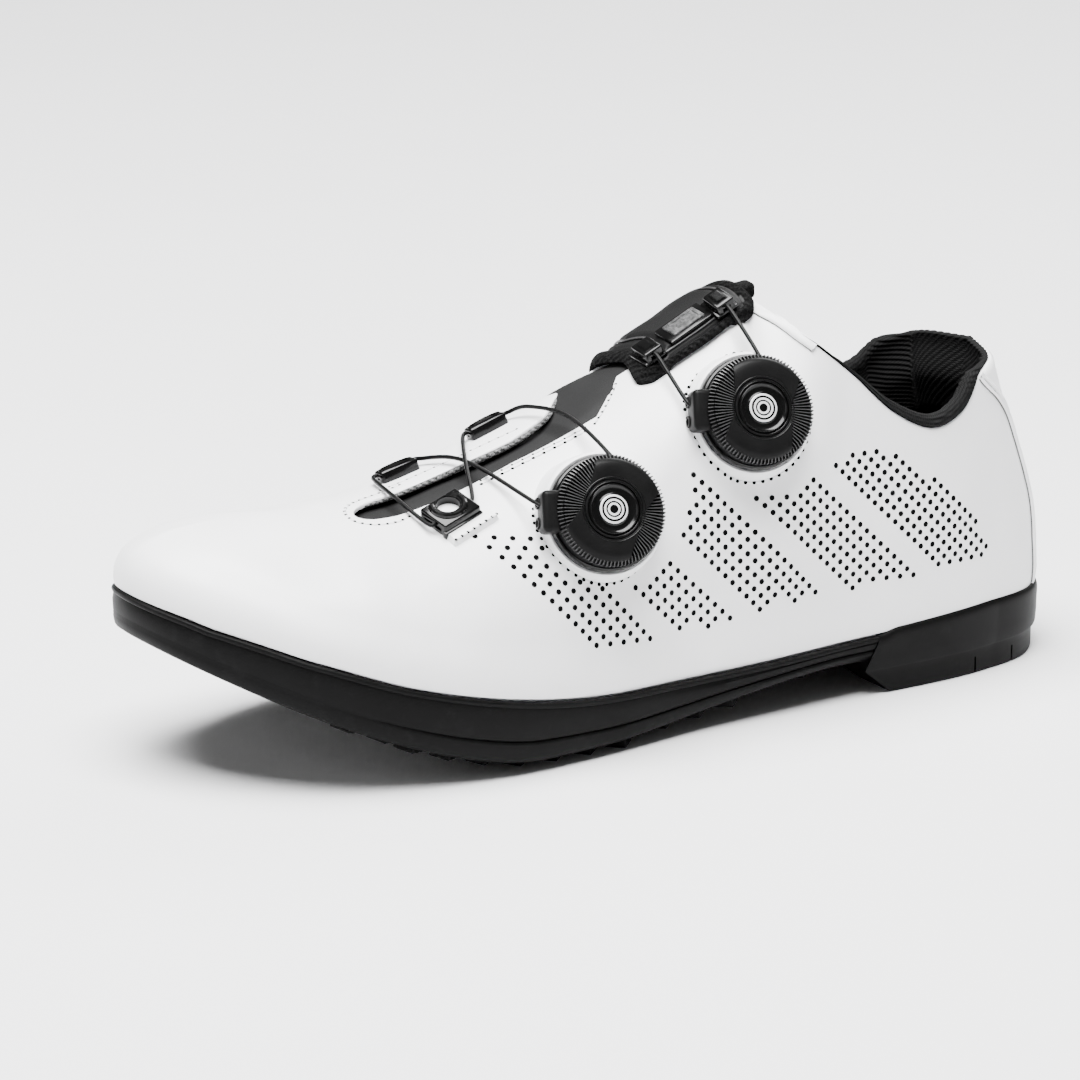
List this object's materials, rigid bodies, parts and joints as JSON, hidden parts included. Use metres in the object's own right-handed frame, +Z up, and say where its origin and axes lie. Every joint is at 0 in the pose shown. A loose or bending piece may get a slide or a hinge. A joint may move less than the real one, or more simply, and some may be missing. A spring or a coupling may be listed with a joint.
{
  "type": "cycling shoe",
  "caption": "Left low-cut cycling shoe with a white upper, side lace dials, a black instep strap, a padded knit collar and a lugged black sole with a studded pedal pad.",
  "frame": {"origin": "middle of the shoe's box, on the plane that it stands on", "axes": "+X to the toe, +Y to the outer side, where the dials are, +Z up"},
  "size_m": [0.289, 0.1043, 0.117],
  "materials": {
    "white_leather": "semi-gloss synthetic with a fine grain",
    "black_rubber": "satin",
    "grey_pad": "satin",
    "black_knit": "ribbed knit",
    "grey_tongue": "matt synthetic",
    "insole_fabric": "matt",
    "black_strap": "satin synthetic",
    "grey_plate": "satin",
    "black_plastic": "satin",
    "silver_disc": "silver",
    "black_lace": "coated lace"
  },
  "bodies": {
    "root": {"sole": "black_rubber", "heel": "black_rubber", "pedal_pad": "grey_pad", "upper": "white_leather", "tongue": "grey_tongue", "collar_lining": "black_knit", "insole": "insole_fabric", "instep_strap": "black_strap", "strap_plate": "grey_plate", "strap_guide_front": "black_plastic", "strap_guide_rear": "black_plastic", "throat_guide_outer": "black_plastic", "throat_guide_inner_front": "black_plastic", "throat_guide_inner_rear": "black_plastic", "dial_upper_seat": "white_leather", "dial_upper_base": "black_plastic", "dial_upper_knob": "black_plastic", "dial_upper_cap": "silver_disc", "dial_lower_seat": "white_leather", "dial_lower_base": "black_plastic", "dial_lower_knob": "black_plastic", "dial_lower_cap": "silver_disc", "lace_lower_crossing": "black_lace", "lace_lower_front": "black_lace", "lace_lower_rear": "black_lace", "lace_upper_front": "black_lace", "lace_upper_rear": "black_lace"}
  },
  "joints": []
}
